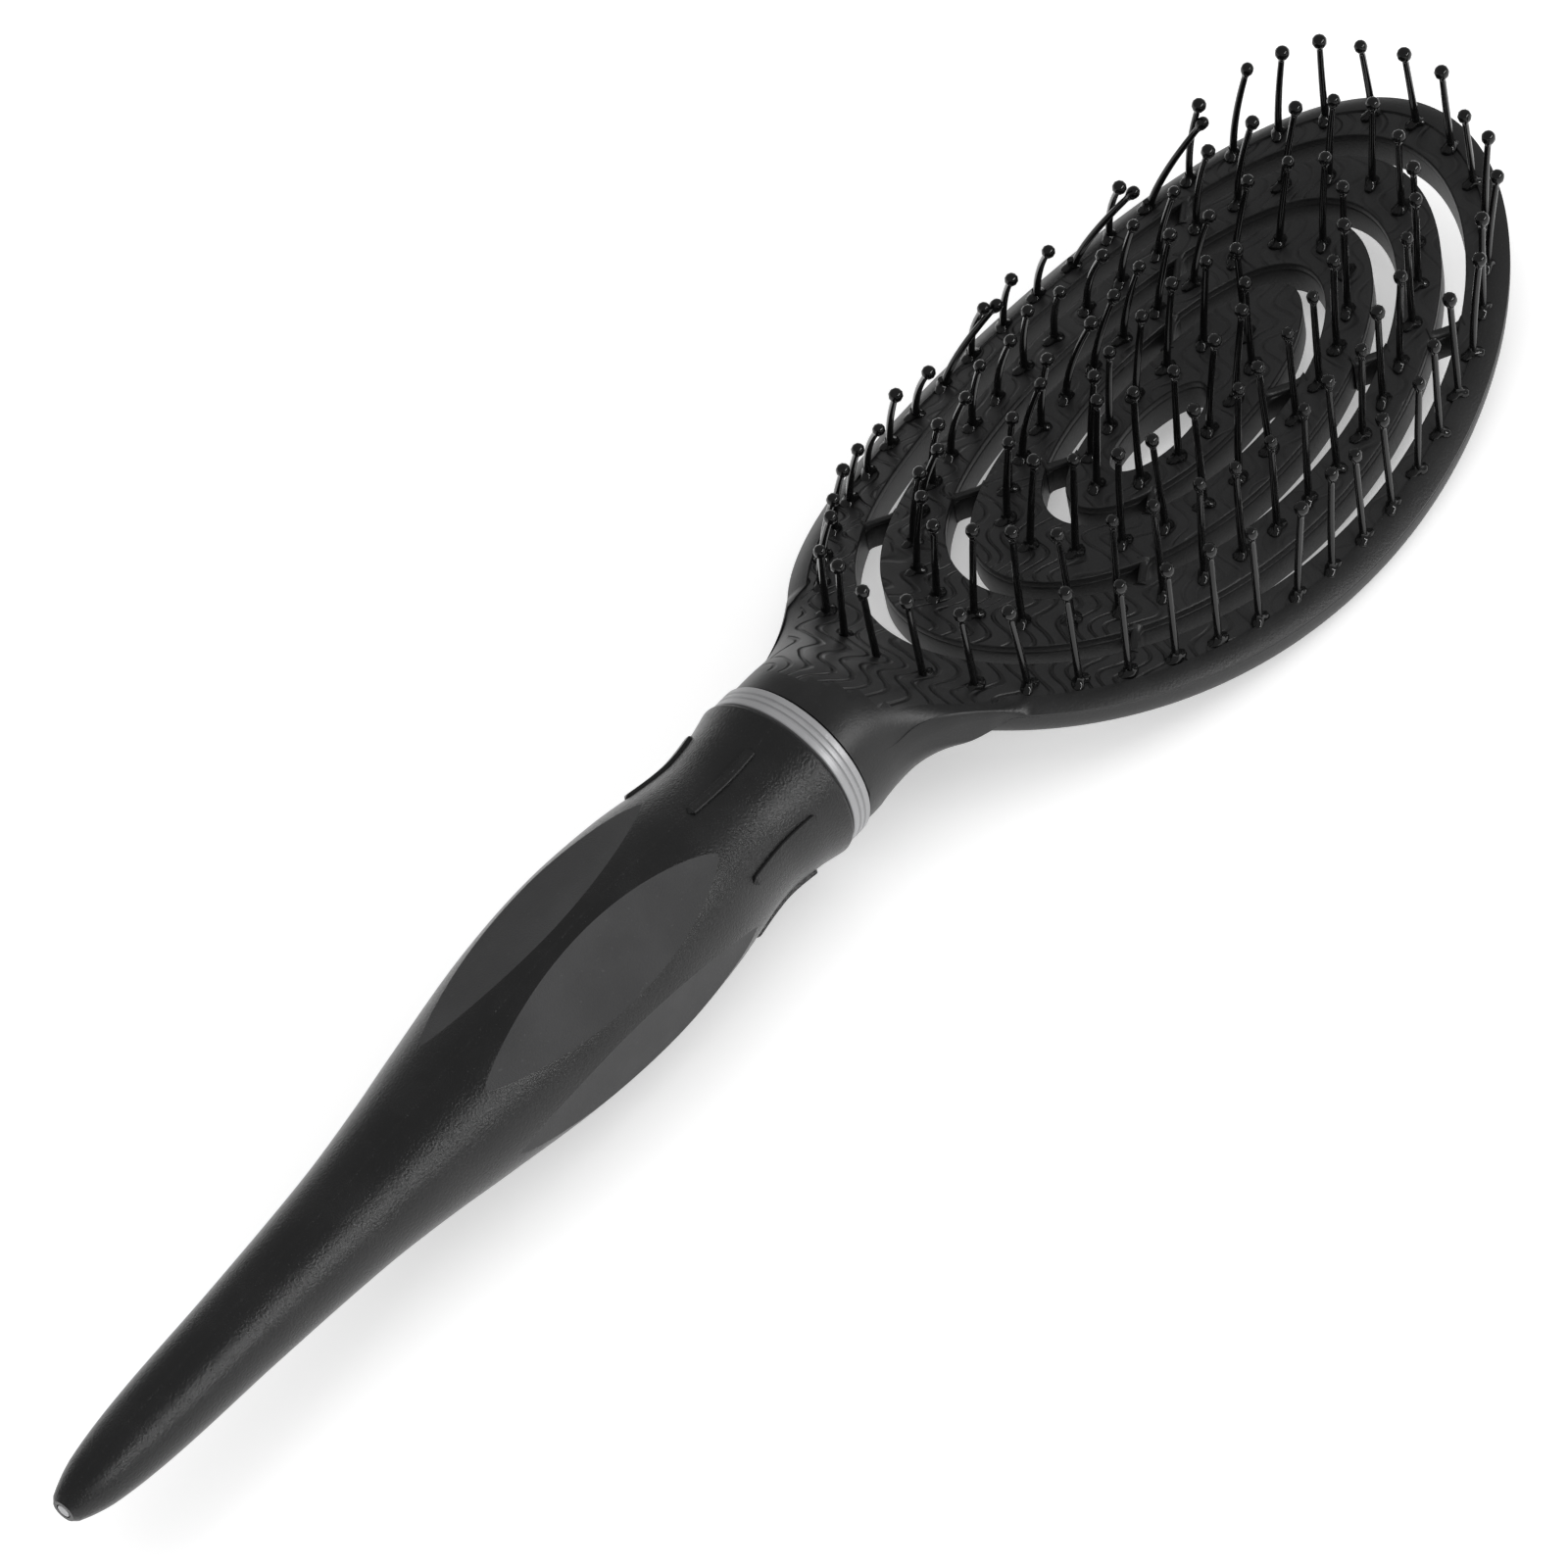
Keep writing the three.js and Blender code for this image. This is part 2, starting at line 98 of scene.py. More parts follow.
def spot(x, y, z):
    return Vector((GRIP_TOP + x * MM, y * MM, AXIS_HEIGHT + z * MM))


def mix(a, b, t):
    return a + (b - a) * t


def smooth(low, high, value):
    t = min(1.0, max(0.0, (value - low) / (high - low)))
    return t * t * (3 - 2 * t)


def curve_through(stops, x):
    """A smooth value at x through (x, value) stops, in the manner of a bent batten."""
    last = len(stops) - 1
    if x <= stops[0][0]:
        return stops[0][1]
    if x >= stops[last][0]:
        return stops[last][1]
    i = max(k for k in range(last) if stops[k][0] <= x)

    def slope(k):
        low, high = max(k - 1, 0), min(k + 1, last)
        return (stops[high][1] - stops[low][1]) / (stops[high][0] - stops[low][0])

    (x0, y0), (x1, y1) = stops[i], stops[i + 1]
    h = x1 - x0
    t = (x - x0) / h
    return (
        y0 * (1 + 2 * t) * (1 - t) ** 2 + h * slope(i) * t * (1 - t) ** 2
        + y1 * t * t * (3 - 2 * t) + h * slope(i + 1) * t * t * (t - 1)
    )


def face_z(x, y):
    """Height of the bristle face: scooped along the head, crowned across it."""
    return -FACE_DROP + (x - LOW_X) ** 2 / (2 * SCOOP_RADIUS) - y * y / (2 * CROWN_RADIUS)


class Oval:
    """An oval about the brush's middle line, by its near end, far end and half its width."""

    def __init__(self, near, far, half):
        self.centre = (near + far) / 2
        self.a = (far - near) / 2
        self.b = half

    def at(self, angle):
        return (self.centre + self.a * math.cos(angle), self.b * math.sin(angle))

    def half_width(self, x):
        return self.b * math.sqrt(max(0.0, 1 - ((x - self.centre) / self.a) ** 2))

    def toward(self, other, t):
        near = mix(self.centre - self.a, other.centre - other.a, t)
        far = mix(self.centre + self.a, other.centre + other.a, t)
        return Oval(near, far, mix(self.b, other.b, t))

    def steps(self, count, fine=2400):
        """Points at equal steps along the oval, from its far end."""
        points = [self.at(TURN * i / fine) for i in range(fine + 1)]
        lengths = [0.0]
        for p, q in zip(points, points[1:]):
            lengths.append(lengths[-1] + math.dist(p, q))
        found = []
        place = 0
        for i in range(count):
            goal = lengths[-1] * i / count
            while lengths[place + 1] < goal:
                place += 1
            found.append(points[place])
        return found


def spread(start, end, shares):
    """Edges from start to end: shares of what the slots leave, a slot after each but the last."""
    room = abs(end - start) - SLOT * (len(shares) - 1)
    sign = 1 if end > start else -1
    edges = [start]
    for i, share in enumerate(shares):
        edges.append(edges[-1] + sign * room * share / sum(shares))
        if i < len(shares) - 1:
            edges.append(edges[-1] + sign * SLOT)
    return edges


near_edges = spread(HEAD_NEAR, HOLE_X - HOLE_HALF[0], NEAR_SHARES)
far_edges = spread(HEAD_FAR, HOLE_X + HOLE_HALF[0], FAR_SHARES)
side_edges = spread(HEAD_HALF, HOLE_HALF[1], SIDE_SHARES)
EDGES = [Oval(*sizes) for sizes in zip(near_edges, far_edges, side_edges)]


def neck_half_width(x):
    """Half the neck's width: round at the ring, then a flare that meets the head's outline."""
    start = NECK_START + 5
    if x <= start:
        return NECK_RADIUS
    span = FLARE_END - start
    t = (x - start) / span
    end = EDGES[0].half_width(FLARE_END)
    slope = (end - EDGES[0].half_width(FLARE_END - 0.1)) / 0.1
    return mix(NECK_RADIUS, end, t * t * (3 - 2 * t)) + t * t * (t - 1) * span * slope


def flatness(x):
    return smooth(NECK_START + 2, NECK_END, x)


def round_z(x, y):
    return NECK_RADIUS * math.sqrt(max(0.0, 1 - (y / neck_half_width(x)) ** 2))


def top_z(x, y):
    return mix(round_z(x, y), face_z(x, y), flatness(x))


def under_z(x, y):
    return mix(-round_z(x, y), face_z(x, y) - HEAD_DEPTH, flatness(x))


# ---- mesh tools -------------------------------------------------------------------------------
def piece_from(name, points, faces, smooth_angle=35.0):
    """A new object from points in brush coordinates, its faces turned outwards and shaded by angle."""
    mesh = bpy.data.meshes.new(name)
    mesh.from_pydata([spot(*p) for p in points], [], faces)
    work = bmesh.new()
    work.from_mesh(mesh)
    bmesh.ops.remove_doubles(work, verts=work.verts, dist=1e-6)
    bmesh.ops.dissolve_degenerate(work, edges=work.edges, dist=1e-7)
    bmesh.ops.recalc_face_normals(work, faces=work.faces)
    limit = math.radians(smooth_angle)
    for face in work.faces:
        face.smooth = True
    for edge in work.edges:
        edge.smooth = len(edge.link_faces) == 2 and edge.calc_face_angle(0.0) < limit
    work.to_mesh(mesh)
    work.free()
    piece = bpy.data.objects.new(name, mesh)
    bpy.context.scene.collection.objects.link(piece)
    return piece


def ring_of(sections, closed=True, caps=False):
    """Points and faces of a strip through equal sections, each section a closed loop."""
    count = len(sections[0])
    points = [p for section in sections for p in section]
    faces = []
    spans = len(sections) if closed else len(sections) - 1
    for i in range(spans):
        here = i * count
        there = (i + 1) % len(sections) * count
        for j in range(count):
            k = (j + 1) % count
            faces.append((here + j, here + k, there + k, there + j))
    if caps:
        faces.append(tuple(range(count)))
        faces.append(tuple(len(points) - count + j for j in reversed(range(count))))
    return points, faces


class Heap:
    """Several closed forms gathered into one piece."""

    def __init__(self):
        self.points = []
        self.faces = []

    def add(self, points, faces):
        start = len(self.points)
        self.points.extend(points)
        self.faces.extend(tuple(start + i for i in face) for face in faces)

    def piece(self, name, smooth_angle=35.0):
        return piece_from(name, self.points, self.faces, smooth_angle)


def finish_faces(piece, finishes, choose=None):
    """Gives the piece its finishes and each face the one that choose(centre in mm, normal) names."""
    for finish in finishes:
        piece.data.materials.append(finish)
    for face in piece.data.polygons if choose else ():
        c = face.center
        at = ((c.x - GRIP_TOP) / MM, c.y / MM, (c.z - AXIS_HEIGHT) / MM)
        face.material_index = choose(at, face.normal)


def ride(piece, node):
    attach(piece, "root")
    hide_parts(node)


# ---- finishes ---------------------------------------------------------------------------------
class Signal:
    """A shader socket; Python operators on it add Math nodes."""

    def __init__(self, finish, socket):
        self.finish = finish
        self.socket = socket

    def worked(self, operation, *values):
        return self.finish.node("ShaderNodeMath", {"operation": operation}, dict(enumerate(values)))

    def __add__(self, other):
        return self.worked("ADD", self, other)

    __radd__ = __add__

    def __sub__(self, other):
        return self.worked("SUBTRACT", self, other)

    def __rsub__(self, other):
        return self.worked("SUBTRACT", other, self)

    def __mul__(self, other):
        return self.worked("MULTIPLY", self, other)

    __rmul__ = __mul__

    def __abs__(self):
        return self.worked("ABSOLUTE", self)

    def sine(self):
        return self.worked("SINE", self)

    def between(self, low, high):
        """0 below low, 1 above high, and a smooth rise between them."""
        limits = {"Value": self, "From Min": low, "From Max": high}
        return self.finish.node("ShaderNodeMapRange", {"interpolation_type": "SMOOTHSTEP"}, limits)


class Nodes:
    """A node tree, emptied and then filled by node()."""

    def __init__(self, tree):
        self.tree = tree
        self.tree.nodes.clear()

    def node(self, kind, settings=None, inputs=None, out=0):
        made = self.tree.nodes.new(kind)
        for key, value in (settings or {}).items():
            setattr(made, key, value)
        for key, value in (inputs or {}).items():
            if isinstance(value, Signal):
                self.tree.links.new(value.socket, made.inputs[key])
            else:
                made.inputs[key].default_value = value
        return Signal(self, made.outputs[out]) if made.outputs else None

    def axes(self, place):
        split = self.node("ShaderNodeSeparateXYZ", None, {0: place})
        outputs = split.socket.node.outputs
        return [Signal(self, socket) for socket in outputs]


class Finish(Nodes):
    """A material for one of the brush's surfaces, made from nodes."""

    def __init__(self, name):
        self.material = bpy.data.materials.new(name)
        self.material.use_nodes = True
        super().__init__(self.material.node_tree)

    def place(self, scale=1000.0):
        """Place on the brush, in millimetres unless scaled otherwise."""
        raw = self.node("ShaderNodeTexCoord", out="Object")
        scaled = {"operation": "SCALE"}
        return self.node("ShaderNodeVectorMath", scaled, {0: raw, "Scale": scale})

    def noise(self, place, scale, detail=2.0, roughness=0.5):
        inputs = {"Vector": place, "Scale": scale, "Detail": detail, "Roughness": roughness}
        return self.node("ShaderNodeTexNoise", None, inputs)

    def blend(self, factor, low, high):
        return self.node("ShaderNodeMix", {"data_type": "RGBA"}, {0: factor, 6: low, 7: high}, 2)

    def relief(self, height, depth_mm, strength=1.0, under=None):
        inputs = {"Height": height, "Distance": depth_mm * MM, "Strength": strength}
        if under is not None:
            inputs["Normal"] = under
        return self.node("ShaderNodeBump", None, inputs)

    def close(self, **sockets):
        shader = self.node("ShaderNodeBsdfPrincipled", None, {
            key.replace("_", " "): value for key, value in sockets.items()
        })
        self.node("ShaderNodeOutputMaterial", None, {"Surface": shader})
        return self.material


def grey(value):
    return (value, value, value * 1.02, 1.0)


def soft_touch(name, dark, pale, rough, grain=0.05, seam=False):
    """Black soft-touch plastic: a fine pebbled grain, faint handling marks and a little dust."""
    finish = Finish(name)
    place = finish.place()
    pebbles = finish.noise(place, 3.4, 3.0, 0.6)
    marks = finish.noise(place, 0.11, 4.0, 0.65).between(0.42, 0.68)
    dust = finish.noise(place, 5.5, 1.0).between(0.71, 0.78)
    colour = finish.blend(marks, grey(dark), grey(pale))
    dusted = finish.blend(dust * 0.25, colour, grey(0.09))
    roughness = (rough - 0.02) + marks * 0.03 + pebbles * 0.05
    normal = finish.relief(pebbles, grain)
    if seam:
        _, across, height = finish.axes(place)
        level = height - AXIS_HEIGHT / MM
        off_seam = abs(across * math.cos(RIB_PHASE) + level * math.sin(RIB_PHASE))
        normal = finish.relief(1 - off_seam.between(0.03, 0.14), 0.03, 1.0, normal)
    return finish.close(Base_Color=dusted, Roughness=roughness, Normal=normal, Specular_IOR_Level=0.4)


def rubbed_flat(name):
    """The grip's flats: matte black rubber with a dense fine grain, rubbed a little paler in use."""
    finish = Finish(name)
    place = finish.place()
    grain = finish.noise(place, 4.5, 2.0, 0.6)
    rubbed = finish.noise(place, 0.09, 3.0).between(0.4, 0.7)
    specks = finish.noise(place, 2.2, 1.0).between(0.72, 0.78)
    colour = finish.blend(rubbed, grey(0.034), grey(0.044))
    speckled = finish.blend(specks * 0.3, colour, grey(0.1))
    normal = finish.relief(grain, 0.06)
    roughness = 0.62 + grain * 0.1
    return finish.close(Base_Color=speckled, Roughness=roughness, Normal=normal, Specular_IOR_Level=0.35)


LINE_COS, LINE_SIN = 0.857, 0.515
LINES_PER_MM = 0.46
RIPPLE_LENGTH = 7.6
CUT_DEPTH = 0.22


def engraved(name):
    """The head's field: wandering contour lines engraved in satin black plastic, the grooves darkened with
    painted shade.
    """
    finish = Finish(name)
    place = finish.place()
    along, across, _ = finish.axes(place)
    drift = finish.noise(place, 0.055, 1.0)
    wander = finish.noise(place, 0.13, 1.0)
    forward = along * LINE_COS + across * LINE_SIN
    sideways = across * LINE_COS - along * LINE_SIN
    ripple = (forward * (TURN / RIPPLE_LENGTH) + drift * 5.0).sine()
    level = sideways * LINES_PER_MM + ripple * 0.6 + wander * 1.6 + drift * 4.0
    fold = finish.node("ShaderNodeMath", {"operation": "PINGPONG"}, {0: level, 1: 0.5})
    # The lines grow deeper, and the painted shade in them darker, on the neck and towards +Y.
    neck = 1 - along.between((GRIP_TOP / MM) + 38, (GRIP_TOP / MM) + 62)
    toward_plus_y = across.between(-24, 4)
    depth = 0.25 + neck * 0.75 * toward_plus_y.worked("MAXIMUM", toward_plus_y, neck) + toward_plus_y * 0.2
    lines = 1 - (1 - fold.between(0.03, 0.2)) * depth
    pebbles = finish.noise(place, 3.0, 3.0, 0.6)
    wear = finish.noise(place, 0.2, 3.0).between(0.45, 0.7)
    height = lines + pebbles * 0.12
    normal = finish.relief(height, CUT_DEPTH)
    # Painted shade: the grooves are coloured darker than the field around them.
    groove_shade = finish.blend(lines, grey(0.004), grey(0.013))
    colour = finish.blend(wear * 0.5, groove_shade, grey(0.018))
    roughness = 0.44 - lines * 0.04 + wear * 0.06
    return finish.close(Base_Color=colour, Roughness=roughness, Normal=normal)


def satin_metal(name):
    """The ring's satin plated metal: fine turned lines, small knocks and a soft haze."""
    finish = Finish(name)
    place = finish.place()
    along, _, _ = finish.axes(place)
    turned = finish.noise(finish.node("ShaderNodeCombineXYZ", None, {0: along * 9.0}), 1.0, 3.0)
    knocks = finish.noise(place, 0.9, 4.0, 0.7).between(0.62, 0.72)
    haze = finish.noise(place, 0.16, 2.0)
    colour = finish.blend(haze, grey(0.3), grey(0.4))
    worn = finish.blend(knocks * 0.5, colour, grey(0.6))
    normal = finish.relief(turned - knocks * 0.6, 0.02)
    roughness = 0.36 + turned * 0.12 + knocks * 0.1
    return finish.close(Base_Color=worn, Roughness=roughness, Metallic=0.4, Normal=normal)


def nylon(name):
    """Glossy black bristle nylon with faint drawn streaks."""
    finish = Finish(name)
    place = finish.place()
    streaks = finish.noise(place, 1.6, 2.0)
    specks = finish.noise(place, 4.2, 2.0).between(0.62, 0.75)
    colour = finish.blend(streaks, grey(0.002), grey(0.006))
    roughness = 0.07 + streaks * 0.08 + specks * 0.12
    normal = finish.relief(streaks, 0.002)
    return finish.close(Base_Color=colour, Roughness=roughness, Normal=normal, Specular_IOR_Level=0.38)


def plain_moulded(name, low, high, rough):
    """Moulded plastic with a slight flow pattern."""
    finish = Finish(name)
    place = finish.place()
    flow = finish.noise(place, 0.35, 3.0)
    pits = finish.noise(place, 3.0, 2.0)
    colour = finish.blend(flow, grey(low), grey(high))
    normal = finish.relief(pits, 0.03)
    return finish.close(Base_Color=colour, Roughness=rough + pits * 0.08, Normal=normal)


grip_finish = soft_touch("grip_soft_touch", 0.007, 0.01, 0.25, 0.085, seam=True)
flat_finish = rubbed_flat("grip_rubbed_flat")
border_finish = soft_touch("head_border_satin", 0.009, 0.013, 0.36, 0.03)
back_finish = soft_touch("back_satin", 0.009, 0.013, 0.42, 0.03)
field_finish = engraved("head_field_engraved")
ring_finish = satin_metal("ring_satin_metal")
nylon_finish = nylon("bristle_nylon")
tang_finish = plain_moulded("tang_moulded", 0.02, 0.035, 0.5)
plug_finish = plain_moulded("plug_pale", 0.4, 0.5, 0.4)
for node_name, finish in (("tang_core", tang_finish), ("tip_plug", plug_finish)):
    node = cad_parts[node_name]
    node.data.materials.clear()
    node.data.materials.append(finish)


# ---- head covers ------------------------------------------------------------------------------
SKIRT_END = NECK_END - 0.4
BORDER = 2.7
FIELD_DROP = 0.28
BORDER_INSETS = (0.0, 0.1, 0.28, 0.55, 0.95, 1.4, 1.9, 2.35, BORDER, BORDER + 0.14)
join_angle = math.acos((EDGES[0].centre - NECK_END) / EDGES[0].a)


def outline(angle):
    """The front cover's outline, with the neck, opposite a point of the head's oval."""
    from_near = abs(math.pi - angle)
    side = 1 if angle < math.pi else -1
    if from_near >= join_angle:
        return EDGES[0].at(angle)
    mouth_share = 0.42
    share = from_near / join_angle
    if share <= mouth_share:
        return (NECK_START, side * NECK_RADIUS * share / mouth_share)
    x = mix(NECK_START, NECK_END, (share - mouth_share) / (1 - mouth_share))
    return (x, side * mix(neck_half_width(x), EDGES[0].half_width(x), smooth(OVAL_START, NECK_END, x)))


def along_path(path, distance):
    for p, q in zip(path, path[1:]):
        length = math.dist(p, q)
        if distance <= length and length > 0:
            t = distance / length
            return (mix(p[0], q[0], t), mix(p[1], q[1], t))
        distance -= length
    return path[-1]


def bevel(inset):
    return 0.95 * (1 - min(1.0, inset / BORDER)) ** 1.7


def front_rim_section(angle):
    outer = outline(angle)
    head = EDGES[0].at(angle)
    inner = EDGES[1].at(angle)
    path = [outer, head, inner]
    length = math.dist(outer, head) + math.dist(head, inner)
    insets = list(BORDER_INSETS)
    steps = 14
    last = length - 0.3
    insets += [mix(BORDER + 0.3, last, i / steps) for i in range(steps + 1)]
    section = []
    for inset in insets:
        x, y = along_path(path, inset)
        z = top_z(x, y) - bevel(inset) * flatness(x)
        z -= FIELD_DROP * (inset > BORDER + 0.05) * smooth(NECK_START + 3, NECK_START + 9, x)
        section.append((x, y, z))
    for inward, drop in ((0.12, 0.04), (0.03, 0.14), (0.0, 0.35)):
        x, y = along_path(path, length - inward)
        section.append((x, y, face_z(x, y) - FIELD_DROP - drop))
    section.append((*inner, face_z(*inner) - FRONT_DEPTH))
    section.append((*head, face_z(*head) - FRONT_DEPTH))
    for t in (1.0, 0.75, 0.5, 0.25, 0.1, 0.03, 0.0):
        x, y = (mix(outer[0], head[0], t), mix(outer[1], head[1], t))
        skirt = smooth(SKIRT_END - 6, SKIRT_END, x)
        section.append((x, y, mix(under_z(x, y), face_z(x, y) - FRONT_DEPTH, skirt)))
    return section


def rounded_band(outer, inner, top, bottom, drop, count, round_low=False):
    """A closed band between two ovals with eased edges, from one depth under the face to another."""
    sections = []
    for i in range(count):
        angle = TURN * i / count
        section = []
        span = math.dist(outer.at(angle), inner.at(angle))
        steps = 12
        low = bottom - 0.35 if round_low else bottom
        face = top + drop
        across = [(0.0, low), (0.0, face + 0.35), (0.03, face + 0.14), (0.12, face + 0.04)]
        across += [(mix(0.3, span - 0.3, j / steps), face) for j in range(steps + 1)]
        across += [(span - 0.12, face + 0.04), (span - 0.03, face + 0.14)]
        across += [(span, face + 0.35), (span, low)]
        if round_low:
            across += [(span - 0.1, bottom - 0.1), (span - 0.35, bottom)]
            across += [(0.35, bottom), (0.1, bottom - 0.1)]
        for inset, depth in across:
            t = inset / span
            p, q = outer.at(angle), inner.at(angle)
            x, y = mix(p[0], q[0], t), mix(p[1], q[1], t)
            section.append((x, y, max(face_z(x, y) - depth, REST_Z)))
        sections.append(section)
    return ring_of(sections)


def ray_to(oval, angle):
    """Where a ray from the middle of the blades' cross meets an oval."""
    cos, sin = math.cos(angle), math.sin(angle)
    offset = HOLE_X - oval.centre
    p = (cos / oval.a) ** 2 + (sin / oval.b) ** 2
    q = 2 * offset * cos / oval.a ** 2
    r = (offset / oval.a) ** 2 - 1
    reach = (-q + math.sqrt(q * q - 4 * p * r)) / (2 * p)
    return (HOLE_X + reach * cos, reach * sin)


def blade(slot, angle, top, bottom, half=0.55):
    """A thin bridge across a slot, with a rounded top edge, swelling a little into the bands."""
    outer = Vector(ray_to(EDGES[2 * slot + 1], angle))
    inner = Vector(ray_to(EDGES[2 * slot + 2], angle))
    forward = (outer - inner).normalized()
    start, end = inner - forward * 0.5, outer + forward * 0.5
    side = Vector((-forward.y, forward.x))
    sections = []
    steps = 10
    for i in range(steps + 1):
        t = i / steps
        middle = start.lerp(end, t)
        swell = 1 + 0.7 * (2 * t - 1) ** 6
        lift = 0.5 * (2 * t - 1) ** 6
        section = []
        for across, depth in (
            (-1, bottom), (-1, top + 0.45), (-0.75, top + 0.15), (-0.3, top),
            (0.3, top), (0.75, top + 0.15), (1, top + 0.45), (1, bottom),
        ):
            p = middle + side * across * half * swell
            section.append((p.x, p.y, face_z(p.x, p.y) - depth + (lift if depth < bottom else 0)))
        sections.append(section)
    return ring_of(sections, closed=False, caps=True)


def blades(heap, top, bottom):
    for slot in range(3):
        for angle in (BLADE_ANGLE, -BLADE_ANGLE, math.pi - BLADE_ANGLE, math.pi + BLADE_ANGLE):
            heap.add(*blade(slot, angle, top, bottom))


def front_cover():
    heap = Heap()
    count = 540
    heap.add(*ring_of([front_rim_section(TURN * (i + 0.5) / count) for i in range(count)]))
    for i, count in ((1, 320), (2, 240), (3, 160)):
        heap.add(*rounded_band(EDGES[2 * i], EDGES[2 * i + 1], 0.0, FRONT_DEPTH, FIELD_DROP, count))
    blades(heap, 0.55, FRONT_DEPTH)
    piece = heap.piece("front_cover_brush_head")

    def choose(at, normal):
        x, y, z = at
        on_top = normal.z > 0.55 and abs(z - (top_z(x, y) - FIELD_DROP)) < 0.06
        if x < NECK_END:
            start = NECK_START + 3 + 5 * (1 - smooth(-10, 2, y))
            inside = abs(y) < neck_half_width(x) - BORDER * 0.9 and x > start
            on_top = inside and normal.z > 0.3 and z > 0
        return 1 if on_top else 0

    finish_faces(piece, (border_finish, field_finish), choose)
    ride(piece, "head_front_cover")


def back_rim_section(angle):
    """The rim's section: depths under the face where positive, above the underside where not."""
    outer = EDGES[0].at(angle)
    inner = EDGES[1].at(angle)
    span = math.dist(outer, inner)
    across = (
        (0.12, BACK_TOP), (0.0, BACK_TOP + 0.12), (0.03, -3.0), (0.14, -2.3), (0.4, -1.5), (0.8, -0.85),
        (1.3, -0.4), (1.9, -0.12), (2.6, 0.0), (span * 0.7, 0.0), (span - 0.35, 0.0),
        (span - 0.1, -0.1), (span, -0.35), (span, BACK_TOP),
    )
    section = []
    for inset, depth in across:
        t = inset / span
        x, y = mix(outer[0], inner[0], t), mix(outer[1], inner[1], t)
        if depth > 0:
            z = face_z(x, y) - depth
        else:
            z = max(under_z(x, y) - depth, REST_Z)
        section.append((x, y, z))
    return section


def back_cover():
    heap = Heap()
    count = 420
    heap.add(*ring_of([back_rim_section(TURN * (i + 0.5) / count) for i in range(count)]))
    for i, count in ((1, 260), (2, 200), (3, 140)):
        heap.add(*rounded_band(EDGES[2 * i], EDGES[2 * i + 1], BACK_TOP, HEAD_DEPTH, 0.0, count, True))
    blades(heap, BACK_TOP, HEAD_DEPTH - 0.5)
    piece = heap.piece("back_cover_brush_head")
    finish_faces(piece, (back_finish,))
    ride(piece, "head_back_cover")


# ---- bristles ---------------------------------------------------------------------------------
PIN_LENGTH = 14.9
PIN_RADIUS = 0.43
PIN_TAPER = 0.92
BALL_RADIUS = 0.9
BRISTLE_SEED = 50
BENT_OVER = {("rim", 6): (25, 26), ("rim", 8): (32, 17), ("rim", 12): (27, 21)}
SIDE_SET = ((-32, 4), (-15, 5.5), (0, 8), (13, 18), (21, 21), (32, 27))


def usual_set(x, y):
    """How far the pins of one place have been combed over, in degrees towards -Y and towards +X."""
    sideways = mix(curve_through(SIDE_SET, y), 10, smooth(100, 115, x))
    near_end = -9 * (1 - smooth(24, 38, x)) * smooth(-24, -8, y)
    upper_side = -13 * smooth(12, 27, y) * (1 - smooth(96, 108, x))
    far_end = 6 * smooth(104, 112, x) * smooth(8, 20, y)
    far_end -= 12 * smooth(110, 119, x) * (1 - smooth(9, 18, abs(y)))
    return sideways, min(near_end, upper_side) + far_end


def pin_path(x, y, row_name, place, chance):
    """Middle line of one pin: it rises from its hole, then takes the set that use has given it."""
    sideways, along = BENT_OVER.get((row_name, place), usual_set(x, y))
    sideways = math.radians(sideways + chance.gauss(0, 1.8))
    along = math.radians(along + chance.gauss(0, 2.4))
    late = mix(1.1, 1.5, max(0.0, y / HEAD_HALF)) + chance.uniform(-0.1, 0.3)
    wave = chance.uniform(-0.3, 0.3)
    height = PIN_LENGTH * chance.uniform(0.98, 1.02)
    height /= math.sqrt(1 + math.tan(sideways) ** 2 + math.tan(along) ** 2)
    base = face_z(x, y) - 1.0
    path = []
    steps = 11
    for i in range(steps + 1):
        rise = i / steps
        sway = height * rise ** late
        ripple = wave * math.sin(math.pi * rise)
        path.append(Vector((
            x + math.tan(along) * sway + ripple * 0.6,
            y - math.tan(sideways) * sway + ripple * 0.4,
            base + (height + 1.0) * rise,
        )))
    return path


def tube_through(path, radii, sides=8):
    """A closed tube through a path, one radius for each point, with pointed ends where it is 0."""
    sections = []
    for i, middle in enumerate(path):
        ahead = path[min(i + 1, len(path) - 1)] - path[max(i - 1, 0)]
        turn = ahead.to_track_quat("Z", "Y").to_matrix()
        section = []
        for j in range(sides):
            angle = TURN * j / sides
            offset = turn @ Vector((math.cos(angle), math.sin(angle), 0)) * radii[i]
            section.append(tuple(middle + offset))
        sections.append(section)
    return ring_of(sections, closed=False, caps=True)


def pin(heap, x, y, row_name, place, chance):
    path = pin_path(x, y, row_name, place, chance)
    ball = chance.uniform(0.82, 0.98)
    tip = (path[-1] - path[-2]).normalized()
    stops = ((0.0, 1.0), (0.35, 1.12), (0.62, 1.38), (0.9, 1.85), (1.2, 2.1), (1.55, 2.16), (1.9, 1.95),
             (2.15, 1.5), (2.32, 0.85), (2.38, 0.02))
    shaft = path[:-1]
    start = path[-1] - tip * 1.2
    radii = [PIN_RADIUS * mix(1.12, PIN_TAPER, i / len(shaft)) for i in range(len(shaft))]
    line = list(shaft)
    for reach, share in stops:
        line.append(start + tip * reach)
        radii.append(PIN_RADIUS * PIN_TAPER * share * (ball / BALL_RADIUS if share > 1.3 else 1))
    heap.add(*tube_through(line, radii, 10))
    foot(heap, x, y, chance)


